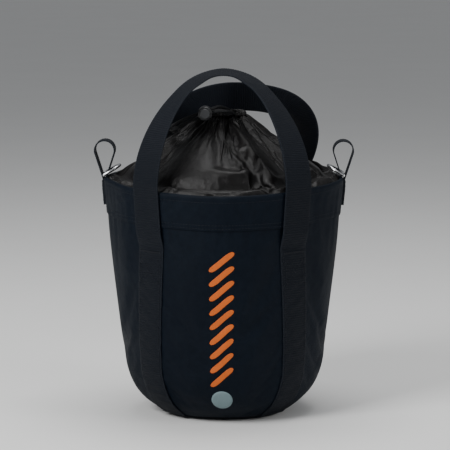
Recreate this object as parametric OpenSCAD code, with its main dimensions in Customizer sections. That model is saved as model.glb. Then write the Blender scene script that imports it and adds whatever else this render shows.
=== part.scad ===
// Rope storage bag: a round, soft bucket bag with two webbing carry handles,
// a thin drawcord collar, a cord lock, and two side loops that each hold a D-ring.
// The origin is the middle of the base on the ground; -Y is the front, +Z is up.

/* [Bag body] */
// Outer radius of the bag at its rim
rim_r = 151; // [130:1:190]
// Height of the rim above the ground
rim_h = 297; // [250:1:380]
// Radius of the bag at its waist, just above the rounded bottom
waist_r = 125; // [105:1:150]
// Height of the waist, where the rounded bottom turns into the upright wall
waist_h = 60; // [48:1:75]
// Radius of the flat part of the base
base_r = 76; // [60:1:95]
// Thickness of the coated body fabric
fabric_t = 1.5; // [1:0.1:2.4]
// Thickness of the stiffener sheet that lies on the base
stiffener_t = 2.5; // [1:0.1:4]

/* [Print] */
// Width of the printed band on the front
band_w = 29; // [15:1:40]
// Height of the band's lower end
band_bottom = 52; // [48:1:80]
// Height of the band's upper end
band_top = 229; // [180:1:235]
// Height of the middle of the round badge under the band
disc_z = 35; // [30:0.5:38]
// Radius of the round badge
disc_r = 13; // [8:0.5:14]

/* [Rim] */
// Height of the folded hem band round the rim
hem_h = 42; // [30:1:52]
// Thickness of the folded hem band
hem_t = 1.5; // [1:0.1:2.4]
// Height of the webbing tape that is sewn inside the hem
rim_tape_h = 34; // [20:1:40]
// Thickness of that tape
rim_tape_t = 1.5; // [1:0.1:2]

/* [Collar] */
// Thickness of the thin collar fabric
collar_t = 1.0; // [0.8:0.1:1.6]
// Height of the gathered neck above the rim
neck_rise = 89; // [75:1:110]
// Radius of the drawcord ring inside the gathered neck
neck_r = 25; // [22:0.5:30]
// Length of collar that is sewn inside the hem
collar_tuck = 30; // [20:1:38]
// Thickness of the sewn tunnel that the drawcord runs in
tunnel_t = 2; // [1:0.1:2.5]

/* [Drawcord] */
// Diameter of the drawcord
cord_d = 4; // [3:0.5:5]
// Distance between the middles of the two tails inside the cord lock
tail_gap = 5; // [4.8:0.1:6]
// Radius of the knot that joins the two tails
knot_r = 6.5; // [5.5:0.25:8]
// Length of that knot
knot_len = 15; // [12:1:20]

/* [Cord lock] */
// Outer radius of the barrel
lock_r = 9; // [8.5:0.25:11]
// Length of the barrel
lock_len = 21; // [19.5:0.5:26]
// Radius of the spring plunger
plunger_r = 6.5; // [6.25:0.25:7]
// How far the plunger stands out of the barrel
plunger_out = 4; // [3:0.25:6]
// How far the plunger is pressed to free the cord
plunger_travel = 3; // [2:0.25:3.5]
// Wire radius of the spring behind the plunger
spring_wire_r = 0.5; // [0.3:0.05:0.6]

/* [Webbing] */
// Width of the handle webbing
webbing_w = 40; // [30:1:50]
// Thickness of the handle webbing
webbing_t = 1.8; // [1.2:0.1:2.4]
// Distance of each strap from the middle of the bag
strap_x = 89; // [75:1:96]
// Height where a strap stops being sewn down and becomes the handle
tack_h = 230; // [200:1:240]
// Height of the front handle's crown above the rim
front_crown_rise = 143; // [125:1:170]
// Height of the rear handle's crown above the rim
rear_crown_rise = 108; // [104:1:130]
// How far the rear handle's crown sits to the right of the middle
rear_crown_shift = 12; // [0:1:20]

/* [Side loops] */
// Width of the side loop webbing
loop_w = 25; // [20:1:32]
// Thickness of the side loop webbing
loop_t = 1.6; // [1.2:0.1:2]
// Height of the side loop above the rim
loop_rise = 55; // [48:1:66]
// Inner radius of the loop's round end
loop_r = 12; // [10:0.5:14]
// Radius of the D-ring wire
ring_wire_r = 2; // [1.5:0.1:2.4]
// Side play of the D-ring on the webbing, both sides together
ring_play = 4; // [2:0.5:8]
// Depth of the D-ring from the middle of its bar to the middle of its bow
ring_depth = 22; // [20:1:26]
// Angle of the resting D-ring from upright, leaning towards the bag
ring_tilt = 60; // [56:1:66]

/* [Hidden] */

black = "#1c1d20";
webbing_black = "#14161a";
collar_black = "#2a2825";
steel = "#b9bcc0";

// Air gap between sewn layers
layer_gap = 0.05;
// Air gap between pieces that move against each other
move_gap = 0.5;
facets = 96;
profile_steps = 10;
waist_slope = 0.27;

// Point t of the cubic curve through four control points, 0 to 1
function bezier(p, t) = pow(1 - t, 3) * p[0] + 3 * pow(1 - t, 2) * t * p[1]
    + 3 * (1 - t) * t * t * p[2] + pow(t, 3) * p[3];

// Direction of that curve at t
function bezier_way(p, t) = 3 * pow(1 - t, 2) * (p[1] - p[0]) + 6 * (1 - t) * t * (p[2] - p[1])
    + 3 * t * t * (p[3] - p[2]);

function unit(v) = v / norm(v);
function flip(list) = [for (i = [len(list) - 1:-1:0]) list[i]];

// ---- Profile of the wall: radius and height, from the base seam up to the rim ----

lower = [[base_r, 0], [base_r + 0.57 * (waist_r - base_r), 0.27 * waist_h],
    [waist_r - waist_slope * 0.47 * waist_h, 0.53 * waist_h], [waist_r, waist_h]];
upper = [[waist_r, waist_h],
    [waist_r + waist_slope * 0.15 * (rim_h - waist_h), waist_h + 0.15 * (rim_h - waist_h)],
    [rim_r - 0.4 * (rim_r - waist_r), rim_h - 0.4 * (rim_h - waist_h)], [rim_r, rim_h]];

// The wall is drawn with short straight stretches, and this is the end of stretch k, moved
// outwards by out. Every layer bends at the same places, so that layers lie on each other.
function bend(k, out) = let(c = k <= profile_steps ? lower : upper,
    t = k / profile_steps - (k <= profile_steps ? 0 : 1), w = unit(bezier_way(c, t)))
    bezier(c, t) + out * [w[1], -w[0]];

// Point on the wall's outside, moved outwards by out, for u from 0 to 2
function wall_at(u, out) = let(g = u * profile_steps, k = min(floor(g), 2 * profile_steps - 1))
    (1 - g + k) * bend(k, out) + (g - k) * bend(k + 1, out);

// The u of the wall at a height, found by halving
function wall_u(z, lo = 0, hi = 2, n = 24) = n == 0 ? (lo + hi) / 2
    : let(m = (lo + hi) / 2) wall_at(m, 0)[1] < z ? wall_u(z, m, hi, n - 1) : wall_u(z, lo, m, n - 1);
function wall_r(z) = wall_at(wall_u(z), 0)[0];

// Outline of a layer of the wall between two offsets, over a stretch of u
function stretch(u0, u1) = concat([u0],
    [for (k = [0:2 * profile_steps]) if (k / profile_steps > u0 + 0.001 && k / profile_steps < u1 - 0.001)
        k / profile_steps], [u1]);
function layer(from, to, u0, u1) = let(us = stretch(u0, u1))
    concat([for (u = us) wall_at(u, to)], flip([for (u = us) wall_at(u, from)]));

// A layer of fabric turned through an angle; the front is -Y
module turned(points, middle = 270, angle = 360) {
    rotate([0, 0, middle - angle / 2])
        rotate_extrude(angle = angle, $fn = facets) polygon(points);
}

// A round bar with chamfered ends
module bar(r, length, chamfer) {
    rotate_extrude($fn = 64) polygon([[0, 0], [r - chamfer, 0], [r, chamfer],
        [r, length - chamfer], [r - chamfer, length], [0, length]]);
}

// ---- Base ----

module base_panel() {
    color(black) cylinder(r = wall_at(0, -fabric_t)[0] - layer_gap, h = fabric_t, $fn = facets);
}

module base_stiffener() {
    color("#303236") translate([0, 0, fabric_t])
        cylinder(r = base_r - 3 * fabric_t, h = stiffener_t, $fn = facets);
}

// Tape bound over the seam allowance where the wall meets the base, on the inside
binding_w = 7;
binding_t = 2.4;
module base_seam_binding() {
    u0 = wall_u(fabric_t + stiffener_t + 0.3);
    color(webbing_black) rotate_extrude($fn = facets)
        polygon(layer(-fabric_t - layer_gap - binding_t, -fabric_t - layer_gap,
            u0, u0 + binding_w / norm(lower[3] - lower[0])));
}

// ---- Wall: two half shells that meet at the side seams ----

seam_half_angle = 0.03;
module wall_half(middle) {
    color(black) turned(layer(-fabric_t, 0, 0, 2), middle, 180 - 2 * seam_half_angle);
}
module front_wall() { wall_half(270); }
module rear_wall() { wall_half(90); }

// Tapes over the two side seams, inside the bag
seam_tape_w = 16;
seam_tape_t = 1;
module seam_tape(middle) {
    color(webbing_black) turned(layer(-fabric_t - layer_gap - seam_tape_t, -fabric_t - layer_gap,
        wall_u(waist_h * 0.62), wall_u(rim_h - hem_h - 4)),
        middle, seam_tape_w / rim_r * 180 / PI);
}
module left_seam_tape() { seam_tape(180); }
module right_seam_tape() { seam_tape(0); }

// Plain film printed on the front: an upright band with a round badge under it, no lettering
print_t = 0.3;
module print_film(z0, z1, width) {
    turned(layer(layer_gap, layer_gap + print_t, wall_u(z0), wall_u(z1)), 270,
        2 * asin(width / 2 / wall_r(z0)));
}
module printed_band() {
    color("#d9651d") print_film(band_bottom, band_top, band_w);
}
module printed_disc() {
    color("#8fa9b3") intersection() {
        print_film(disc_z - disc_r - 2, disc_z + disc_r + 2, 2 * disc_r + 6);
        translate([0, 0, disc_z]) rotate([90, 0, 0]) cylinder(r = disc_r, h = 2 * rim_r, $fn = 64);
    }
}

// ---- Rim ----

hem_u = wall_u(rim_h - hem_h);
hem_out = layer_gap + hem_t;
module hem_band() {
    color(black) turned(layer(layer_gap, hem_out, hem_u, 2));
}

// Webbing tape inside the wall that keeps the mouth open
tape_out = -fabric_t - layer_gap;
tape_in = tape_out - rim_tape_t;
module rim_tape() {
    color(webbing_black) turned(layer(tape_in, tape_out,
        wall_u(rim_h - rim_tape_h - 3), wall_u(rim_h - 3)));
}

// ---- Collar: a thin dome that rises from inside the hem to the gathered neck ----

tunnel_hole_r = cord_d / 2 + 0.3;
tunnel_out_r = tunnel_hole_r + tunnel_t;
neck_z = rim_h + neck_rise;
collar_out = tape_in - layer_gap;
collar_foot = wall_at(2, collar_out - collar_t);
dome = [collar_foot, [collar_foot[0] - 24, rim_h + 0.30 * neck_rise],
    [neck_r + 52, neck_z - 0.25 * neck_rise],
    [neck_r + 0.95 * tunnel_out_r, neck_z - 0.40 * tunnel_out_r]];
function dome_at(t, out) = let(w = unit(bezier_way(dome, t))) bezier(dome, t) + out * [w[1], -w[0]];

module collar() {
    tuck = layer(collar_out - collar_t, collar_out, wall_u(rim_h - collar_tuck), 2);
    half = len(tuck) / 2;
    rise = [for (i = [1:14]) i / 14];
    color(collar_black) turned(concat([for (i = [0:half - 1]) tuck[i]],
        [for (t = rise) dome_at(t, collar_t)], flip([for (t = rise) dome_at(t, 0)]),
        [for (i = [half:2 * half - 1]) tuck[i]]));
}

// The tunnel is a tube round the drawcord. It is open at the front, where the tails leave it.
exit_from = 270;
exit_sweep = 36.87;
module neck_arc() {
    translate([0, 0, neck_z]) rotate([0, 0, exit_from + exit_sweep])
        rotate_extrude(angle = 360 - exit_sweep, $fn = facets)
            translate([neck_r, 0]) children();
}

module drawcord_tunnel() {
    color(collar_black) neck_arc() difference() {
        circle(r = tunnel_out_r, $fn = 40);
        circle(r = tunnel_hole_r, $fn = 32);
    }
}

module drawcord_in_tunnel() {
    color(webbing_black) neck_arc() circle(r = cord_d / 2, $fn = 24);
}

// ---- Drawcord tails: both turn left at the neck, pass through the cord lock one above the
// other, lie over the collar to the back, and hang behind the bag down to one knot ----

lower_tail = [[0.2, -25, 386], [3.8, -25.3, 386.2], [7.2, -26.7, 386.7], [9.9, -29.1, 387.5],
    [11.5, -32.3, 388.5], [11.9, -35.8, 389.6], [11, -39.3, 390.6], [8.9, -42.3, 391.5], [5.8, -44.6, 392.3],
    [2, -45.8, 392.9], [-2.5, -46, 393.1], [-6.8, -46, 392.9], [-11, -46, 391.8], [-16, -46, 390],
    [-28, -46, 385.5], [-40, -46, 381], [-48, -44.5, 377.3], [-55, -40.5, 373], [-61, -34, 369.3],
    [-65, -25, 367.6], [-67.5, -14, 367.4], [-68.5, -1, 367.4], [-68, 12, 367], [-66, 27, 365.6],
    [-63, 42, 362.9], [-59.5, 58, 357.8], [-56, 75, 350.2], [-52.5, 92, 340.8], [-49.5, 108, 330],
    [-47.5, 122, 319.2], [-46.5, 133, 310], [-46, 140, 305.2], [-46, 145.7, 301.3], [-46, 149.5, 295.5],
    [-46, 150, 288], [-46, 148.5, 279], [-46, 146.5, 267], [-46, 145.5, 250], [-46, 145, 205],
    [-46, 145, 147]];
upper_tail = [[14.85, -20.1, 386], [12.5, -22, 387.7], [9.8, -24.4, 390.3], [6.7, -27.4, 392.9],
    [3.4, -30.9, 395], [0, -34.6, 396.4], [-3.4, -38.4, 397.5], [-6.8, -42, 397.9], [-10.4, -44.7, 397.4],
    [-14, -46, 396], [-19, -46, 394.2], [-28, -46, 390.8], [-40, -46, 386.3], [-48.5, -45, 382.8],
    [-56.5, -41.5, 378.6], [-63.5, -35.5, 374], [-68.8, -27, 370], [-72, -16, 366.6], [-73.5, -3, 364.7],
    [-73.3, 11, 364.2], [-71.5, 26, 362.8], [-68.5, 42, 360.1], [-65, 58, 355.1], [-61.5, 75, 347.8],
    [-58, 91.5, 338.9], [-55, 107, 328.8], [-53, 121, 318], [-51.7, 131.5, 309.7], [-51, 138.2, 305],
    [-51, 144, 301.3], [-51, 147.9, 295.5], [-51, 148.5, 288], [-51, 147, 279], [-51, 145, 267],
    [-51, 143.8, 250], [-51, 143.5, 205], [-51, 143.5, 147]];

// Point between p[i] and p[i + 1] on the smooth curve through all the points
function smooth(p, i, t) = let(
    a = i > 0 ? p[i - 1] : 3 * p[0] - 3 * p[1] + p[2],
    b = p[i], c = p[i + 1], d = p[min(i + 2, len(p) - 1)])
    0.5 * (2 * b + (c - a) * t + (2 * a - 5 * b + 4 * c - d) * t * t + (3 * b - a - 3 * c + d) * t * t * t);
function smooth_line(p, steps) = concat(
    [for (i = [0:len(p) - 2], s = [0:steps - 1]) smooth(p, i, s / steps)], [p[len(p) - 1]]);

// Faces that join rings of n corners each into one closed solid
function skin(rings, n) = concat(
    [flip([for (k = [0:n - 1]) k])],
    [for (i = [0:rings - 2], k = [0:n - 1], side = [0, 1]) let(
        a = i * n + k, b = i * n + (k + 1) % n, c = b + n, d = a + n)
        side == 0 ? [a, b, c] : [a, c, d]],
    [[for (k = [0:n - 1]) (rings - 1) * n + k]]);

// Direction of a line of points at its point i
function way(p, i) = unit(p[min(i + 1, len(p) - 1)] - p[max(i - 1, 0)]);

module tube(points, r) {
    sides = 8;
    corners = [for (i = [0:len(points) - 1]) let(
        w = way(points, i),
        across = unit(cross(w, abs(w[2]) > 0.75 ? [0, 1, 0] : [0, 0, 1])),
        over = cross(across, w))
        for (k = [0:sides - 1]) points[i]
            + r * (cos(360 * k / sides) * across + sin(360 * k / sides) * over)];
    polyhedron(corners, skin(len(points), sides), convexity = 6);
}

module drawcord_tail_lower() { color(webbing_black) tube(smooth_line(lower_tail, 2), cord_d / 2); }
module drawcord_tail_upper() { color(webbing_black) tube(smooth_line(upper_tail, 2), cord_d / 2); }

module drawcord_knot() {
    top = (lower_tail[len(lower_tail) - 1] + upper_tail[len(upper_tail) - 1]) / 2;
    color(webbing_black) translate(top - [0, 0, knot_len]) bar(knot_r, knot_len, 2);
}

// ---- Cord lock: a barrel with a sprung plunger. Both tails pass across it through one slot,
// which leans with them down towards the left. ----

lock_x = -23;
lock_y = -46;
lock_z = 390;
lock_tilt = atan(3 / 8);
lock_wall = 1.8;
spring_solid = 3.5;
bore_r = plunger_r + 0.3;
slot_clear = 0.5;
slot_rear = lock_y + cord_d / 2 + 0.3;
plunger_rear = slot_rear + 2.2;
bore_rear = plunger_rear + plunger_travel + spring_solid;
barrel_rear = bore_rear + lock_wall;
barrel_front = barrel_rear - lock_len;
slot_height = tail_gap + cord_d + 2 * slot_clear;

// Puts a shape drawn along +Z from its rear end onto the lock's axis, with the rear end at y
module on_lock_axis(y) {
    translate([lock_x, y, lock_z]) rotate([90, 0, 0]) children();
}

// The space that the tails pass through, with its middle at y
module slot(y, width) {
    translate([lock_x, y, lock_z]) rotate([0, -lock_tilt, 0])
        cube([3 * lock_r, width, slot_height], center = true);
}

module cord_lock_barrel() {
    color("#202124") difference() {
        on_lock_axis(barrel_rear) bar(lock_r, lock_len, 1.2);
        on_lock_axis(bore_rear) cylinder(r = bore_r, h = 2 * lock_len, $fn = 64);
        slot(lock_y, cord_d + 2 * slot_clear);
    }
}

module cord_lock_plunger() {
    slot_front = lock_y - cord_d / 2 - 0.3 - plunger_travel;
    color("#2b2c30") difference() {
        on_lock_axis(plunger_rear) bar(plunger_r, plunger_rear - barrel_front + plunger_out, 0.8);
        slot((slot_rear + slot_front) / 2, slot_rear - slot_front);
    }
}

module cord_lock_spring() {
    turns = 3;
    coil_r = plunger_r - 1.5;
    length = bore_rear - plunger_rear - 2 * spring_wire_r - 0.2;
    helix = [for (i = [0:16 * turns]) let(a = 360 * i / 16)
        [coil_r * cos(a), coil_r * sin(a), length * i / (16 * turns)]];
    color(steel) on_lock_axis(bore_rear - spring_wire_r - 0.1) tube(helix, spring_wire_r);
}

// ---- Straps: webbing sewn up the outside of the wall, from the base seam to the bar tack ----

strap_angle = asin(strap_x / wall_r(tack_h));
strap_top = tack_h - 3;
// A strap leans away from the middle of its side as it runs down, and is steepest above the waist
strap_lean = 8;
function strap_turn(z) = strap_lean * min(1, (strap_top - z) / (strap_top - waist_h));
strap_heights = [for (k = [0:8]) waist_h + (strap_top - waist_h) * (1 - k / 8)];

// Outline of a strap as it is seen along its azimuth: side is 1 where it leans towards +Y of that view
function strap_edge(side, edge) = [for (z = concat(strap_heights, [-1]))
    [side * wall_r(max(z, 1)) * sin(strap_turn(z)) + edge * webbing_w / 2, z]];

module strap(azimuth, side) {
    color(webbing_black) intersection() {
        turned(layer(layer_gap, layer_gap + webbing_t, wall_u(webbing_t + 1), wall_u(strap_top)),
            azimuth + side * strap_lean / 2, 2 * asin(webbing_w / 2 / base_r) + 2 * strap_lean);
        rotate([0, 0, azimuth]) rotate([90, 0, 90]) linear_extrude(2 * rim_r)
            polygon(concat(strap_edge(side, -1), flip(strap_edge(side, 1))));
    }
}
module front_left_strap() { strap(270 - strap_angle, -1); }
module front_right_strap() { strap(270 + strap_angle, 1); }
module rear_left_strap() { strap(90 + strap_angle, 1); }
module rear_right_strap() { strap(90 - strap_angle, -1); }

// A raised band of thread across each strap, just below its upper end
bar_tack_h = 3;
bar_tack_t = 0.7;
module strap_bar_tacks() {
    inside = 2 * layer_gap + webbing_t;
    color("#26282c") for (middle = [90, 270], side = [-1, 1]) let(azimuth = middle + side * strap_angle)
        turned(layer(inside, inside + bar_tack_t, wall_u(strap_top - 6), wall_u(strap_top - 6 + bar_tack_h)),
            azimuth, (webbing_w - 8) / wall_r(strap_top) * 180 / PI);
}

// ---- Handles: each is the free length of webbing between its two bar tacks ----

handle_foot = tack_h + 2;
straight_top = rim_h + 8;
hem_clear = hem_out + move_gap;

// Radius of the handle webbing's middle layer at a height, where it stands beside the hem
function handle_r(z) = let(r0 = wall_r(handle_foot) + hem_clear + 0.3, r1 = rim_r + hem_clear)
    r0 + (r1 - r0) * (z - handle_foot) / (rim_h - handle_foot) + webbing_t / 2;

// A point of the right arm; front is -1 for the front handle and 1 for the rear one
function arm_at(z, front) = [handle_r(z) * sin(strap_angle), front * handle_r(z) * cos(strap_angle), z];

// The arch from the top of the right arm to the crown
front_arch = let(foot = arm_at(straight_top, -1), crown_z = rim_h + front_crown_rise)
    [foot, foot + [-2, 4, 0.5 * front_crown_rise], [52, -25, crown_z], [0, -12, crown_z]];
rear_arch = let(foot = arm_at(straight_top, 1), crown_z = rim_h + rear_crown_rise)
    [foot, foot + [34, -4, 0.65 * rear_crown_rise], [85, 40, crown_z], [rear_crown_shift, 35, crown_z]];
// The rear handle leans to the right, so its left half is flatter; it is written as if on the right
rear_left_arch = let(foot = arm_at(straight_top, 1), crown_z = rim_h + rear_crown_rise)
    [foot, foot + [-6, -4, 0.42 * rear_crown_rise], [50, 40, crown_z], [-rear_crown_shift, 35, crown_z]];

function ease(t) = t * t * (3 - 2 * t);
straight_steps = 4;
arch_steps = 16;

// Middle line of one half handle, from the foot to the crown, and the direction across it
function half_line(arch, front) = concat(
    [for (i = [0:straight_steps - 1])
        arm_at(handle_foot + (straight_top - handle_foot) * i / straight_steps, front)],
    [for (i = [0:arch_steps]) bezier(arch, i / arch_steps)]);
function half_across(front, crown_across) = concat(
    [for (i = [0:straight_steps - 1]) [cos(strap_angle), -front * sin(strap_angle), 0]],
    [for (i = [0:arch_steps]) let(e = ease(i / arch_steps))
        (1 - e) * [cos(strap_angle), -front * sin(strap_angle), 0] + e * crown_across]);

function mirrored(points) = [for (p = points) [-p[0], p[1], p[2]]];
function both_halves(left, right) = concat(mirrored(left), [for (i = [len(right) - 2:-1:0]) right[i]]);

module handle(left_arch, right_arch, front, crown_across) {
    line = both_halves(half_line(left_arch, front), half_line(right_arch, front));
    half_turn = half_across(front, crown_across);
    across = both_halves(half_turn, half_turn);
    corners = [for (i = [0:len(line) - 1]) let(
        w = way(line, i),
        a = unit(across[i] - (across[i] * w) * w) * webbing_w / 2,
        n = unit(cross(w, a)) * webbing_t / 2)
        for (c = [-a - n, a - n, a + n, -a + n]) line[i] + c];
    color(webbing_black) polyhedron(corners, flip_faces(skin(len(line), 4)), convexity = 8);
}
function flip_faces(faces) = [for (f = faces) flip(f)];

module front_handle() { handle(front_arch, front_arch, -1, [0, 0.99, 0.14]); }
module rear_handle() { handle(rear_left_arch, rear_arch, 1, [0, -0.35, 0.94]); }

// ---- Side loops: a tab of doubled webbing sewn on the hem, and the loop that stands above it ----

tab_in = hem_out + layer_gap;
tab_out = tab_in + 2 * loop_t;
tab_bottom = rim_h - 32;
tab_top = rim_h - 1;
module tab(azimuth) {
    color(webbing_black) turned(layer(tab_in, tab_out, wall_u(tab_bottom), wall_u(tab_top)),
        azimuth, loop_w / (rim_r + tab_in) * 180 / PI);
}
module left_tab() { tab(180); }
module right_tab() { tab(0); }

module tab_bar_tacks() {
    inside = tab_out + layer_gap;
    color("#26282c") for (azimuth = [0, 180], z = [tab_bottom + 4, tab_top - 9])
        turned(layer(inside, inside + bar_tack_t, wall_u(z), wall_u(z + bar_tack_h)),
            azimuth, (loop_w - 6) / rim_r * 180 / PI);
}

// The loop is drawn in the X-Z plane: two straight legs that run up onto a round end
loop_foot = rim_h + 3;
loop_x = rim_r + (tab_in + tab_out) / 2;
loop_out_r = loop_r + loop_t;
loop_mid = rim_h + loop_rise - loop_out_r - loop_foot;
foot_half_w = 1.15 * loop_t;
leg_angle = asin(loop_out_r / norm([loop_mid, foot_half_w])) - atan(foot_half_w / loop_mid);

// Outline with a round end of radius r, whose straight legs meet in a point below it
module drop(r) {
    polygon(concat([[0, loop_mid - r / sin(leg_angle)]],
        [for (i = [0:32]) let(a = -leg_angle + (180 + 2 * leg_angle) * i / 32)
            [r * cos(a), loop_mid + r * sin(a)]]));
}

module loop(side) {
    color(webbing_black) translate([side * loop_x, loop_w / 2, loop_foot]) rotate([90, 0, 0])
        linear_extrude(loop_w) difference() {
            intersection() {
                drop(loop_out_r);
                translate([-rim_r, 0]) square(2 * rim_r);
            }
            drop(loop_r);
        }
}
module left_loop() { loop(-1); }
module right_loop() { loop(1); }

// D-ring: its bar lies in the foot of the loop, its bow passes round the inner leg
bar_rise = (ring_wire_r + 0.5) / sin(leg_angle) + loop_mid - loop_r / sin(leg_angle);
bow_r = (loop_w + ring_play) / 2 + ring_wire_r;
leg_len = ring_depth - bow_r;
module ring(side) {
    corner_r = ring_wire_r + 0.1;
    color(steel) translate([side * loop_x, 0, loop_foot + bar_rise]) rotate([0, -side * ring_tilt, 0]) {
        rotate([90, 0, 0]) cylinder(r = ring_wire_r, h = 2 * bow_r, center = true, $fn = 32);
        for (y = [-bow_r, bow_r]) translate([0, y, 0]) {
            sphere(r = corner_r, $fn = 32);
            cylinder(r = ring_wire_r, h = leg_len + 0.01, $fn = 32);
        }
        translate([0, 0, leg_len]) rotate([0, -90, 0]) rotate([0, 0, -90])
            rotate_extrude(angle = 180, $fn = facets) translate([bow_r, 0]) circle(r = ring_wire_r, $fn = 32);
    }
}
module left_ring() { ring(-1); }
module right_ring() { ring(1); }

base_panel();
base_stiffener();
base_seam_binding();
front_wall();
rear_wall();
left_seam_tape();
right_seam_tape();
printed_band();
printed_disc();
hem_band();
rim_tape();
collar();
drawcord_tunnel();
drawcord_in_tunnel();
drawcord_tail_lower();
drawcord_tail_upper();
drawcord_knot();
cord_lock_barrel();
cord_lock_plunger();
cord_lock_spring();
front_left_strap();
front_right_strap();
rear_left_strap();
rear_right_strap();
front_handle();
rear_handle();
strap_bar_tacks();
left_tab();
right_tab();
left_loop();
right_loop();
left_ring();
right_ring();
tab_bar_tacks();
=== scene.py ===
import math

import bmesh
import bpy
import numpy as np
from mathutils import Matrix, Vector


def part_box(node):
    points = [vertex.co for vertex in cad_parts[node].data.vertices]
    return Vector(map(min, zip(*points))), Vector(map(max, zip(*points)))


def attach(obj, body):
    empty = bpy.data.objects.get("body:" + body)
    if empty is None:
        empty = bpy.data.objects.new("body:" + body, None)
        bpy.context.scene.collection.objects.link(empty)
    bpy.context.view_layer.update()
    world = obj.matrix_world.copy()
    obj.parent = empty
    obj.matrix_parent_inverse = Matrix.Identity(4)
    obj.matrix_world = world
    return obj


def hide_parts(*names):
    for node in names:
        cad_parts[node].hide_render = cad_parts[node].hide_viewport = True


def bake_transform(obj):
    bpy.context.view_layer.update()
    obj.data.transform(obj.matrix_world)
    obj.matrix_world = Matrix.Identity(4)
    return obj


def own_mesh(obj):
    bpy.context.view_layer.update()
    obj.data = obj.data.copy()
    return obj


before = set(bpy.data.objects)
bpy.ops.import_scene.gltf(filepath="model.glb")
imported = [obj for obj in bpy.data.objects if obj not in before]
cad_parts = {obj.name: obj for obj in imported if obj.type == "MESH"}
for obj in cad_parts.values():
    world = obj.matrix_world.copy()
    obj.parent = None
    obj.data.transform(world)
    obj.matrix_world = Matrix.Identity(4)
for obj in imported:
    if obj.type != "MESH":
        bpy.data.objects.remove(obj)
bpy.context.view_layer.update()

# ---- Wall cloth ---------------------------------------------------------------------------
# The bag is a tube of heavy coated polyester, cut flat as a front and a rear panel. It is cut
# and rolled here once, and settled as cloth, so that it bulges and creases a little between
# the lines where webbing, hem and base hold it. All that is sewn to the wall follows it.

fabric_t = 0.0015
layer_gap = 0.00005
base_r = 0.076
waist_r, waist_h = 0.125, 0.060
waist_slope = 0.27
rim_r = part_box("front_wall")[1].x
rim_h = 0.297
hem_h = 0.042


def ease(t):
    """0 below 0, 1 above 1, and a smooth rise between them"""
    t = float(min(max(t, 0.0), 1.0))
    return t * t * (3 - 2 * t)


def curve_at(p, t):
    """Point t of the cubic curve through four control points, 0 to 1"""
    t = float(t)
    return (
        (1 - t) ** 3 * p[0]
        + 3 * (1 - t) ** 2 * t * p[1]
        + 3 * (1 - t) * t * t * p[2]
        + t**3 * p[3]
    )


rounded_bottom = [
    Vector((base_r, 0)),
    Vector((base_r + 0.57 * (waist_r - base_r), 0.27 * waist_h)),
    Vector((waist_r - waist_slope * 0.47 * waist_h, 0.53 * waist_h)),
    Vector((waist_r, waist_h)),
]
upright_side = [
    Vector((waist_r, waist_h)),
    Vector((waist_r + waist_slope * 0.15 * (rim_h - waist_h), waist_h + 0.15 * (rim_h - waist_h))),
    Vector((rim_r - 0.4 * (rim_r - waist_r), rim_h - 0.4 * (rim_h - waist_h))),
    Vector((rim_r, rim_h)),
]
outline = [curve_at(rounded_bottom, k / 60) for k in range(60)]
outline += [curve_at(upright_side, k / 120) for k in range(121)]
radii = np.array([p.x for p in outline])
heights = np.array([p.y for p in outline])
along = np.concatenate([[0], np.cumsum(np.hypot(np.diff(radii), np.diff(heights)))])
wall_len = along[-1]
facing_r = np.gradient(heights, along)
facing_z = -np.gradient(radii, along)


def up_to(z):
    """How far up the wall a height is, measured along the cloth from the base seam"""
    return float(np.interp(z, heights, along))


strap_x = 0.089
strap_top = 0.227
strap_lean = math.radians(8)
strap_angle = math.asin(strap_x / float(np.interp(0.230, heights, radii)))
webbing_w = 0.040


def strap_turn(z):
    """Angle from the front to the middle of a strap at a height; straps spread as they run down"""
    return strap_angle + strap_lean * min(max((strap_top - z) / (strap_top - waist_h), 0.0), 1.0)


def rim_lift(a):
    """The two side loops hold the rim up at the sides, and it hangs lower between them"""
    return 0.001 - 0.0042 * math.cos(2 * a)


around, rises = 144, 54
bulge = np.zeros((around, rises + 1))


def swell(a, s):
    """How far the settled cloth stands out from the plain wall"""
    i = (a / (2 * math.pi)) % 1 * around
    j = min(max(s / wall_len, 0.0), 1.0) * rises
    i0, j0 = int(i), min(int(j), rises - 1)
    fi, fj = i - i0, j - j0
    i0, i1 = i0 % around, (i0 + 1) % around
    low = bulge[i0, j0] * (1 - fi) + bulge[i1, j0] * fi
    high = bulge[i0, j0 + 1] * (1 - fi) + bulge[i1, j0 + 1] * fi
    return low * (1 - fj) + high * fj


def wall(a, s, out=0.0):
    """Point on the wall's outside: a is the angle from the front, to the right; s is up the cloth"""
    off = out + swell(a, s)
    r = np.interp(s, along, radii) + off * np.interp(s, along, facing_r)
    z = np.interp(s, along, heights) + off * np.interp(s, along, facing_z)
    r *= 1 - 0.024 * ease(1 - s / up_to(waist_h)) * math.cos(4 * a)
    z += rim_lift(a) * ease((s - wall_len + 0.11) / 0.11)
    return Vector((r * math.sin(a), -r * math.cos(a), z))


def keep_flat(bm, spot):
    """Keeps each point's place on the flat cloth, in metres, as the UV map; spot gives it"""
    flat = bm.loops.layers.uv.get("flat") or bm.loops.layers.uv.new("flat")
    for face in bm.faces:
        for loop in face.loops:
            loop[flat].uv = spot(loop.vert.co)


def cut(width, length, columns, rows):
    """A flat piece of cloth"""
    bm = bmesh.new()
    bmesh.ops.create_grid(bm, x_segments=columns, y_segments=rows, size=0.5)
    for corner in bm.verts:
        corner.co = Vector(((corner.co.x + 0.5) * width, (corner.co.y + 0.5) * length, 0))
    keep_flat(bm, lambda spot: spot.xy)
    return bm


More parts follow.
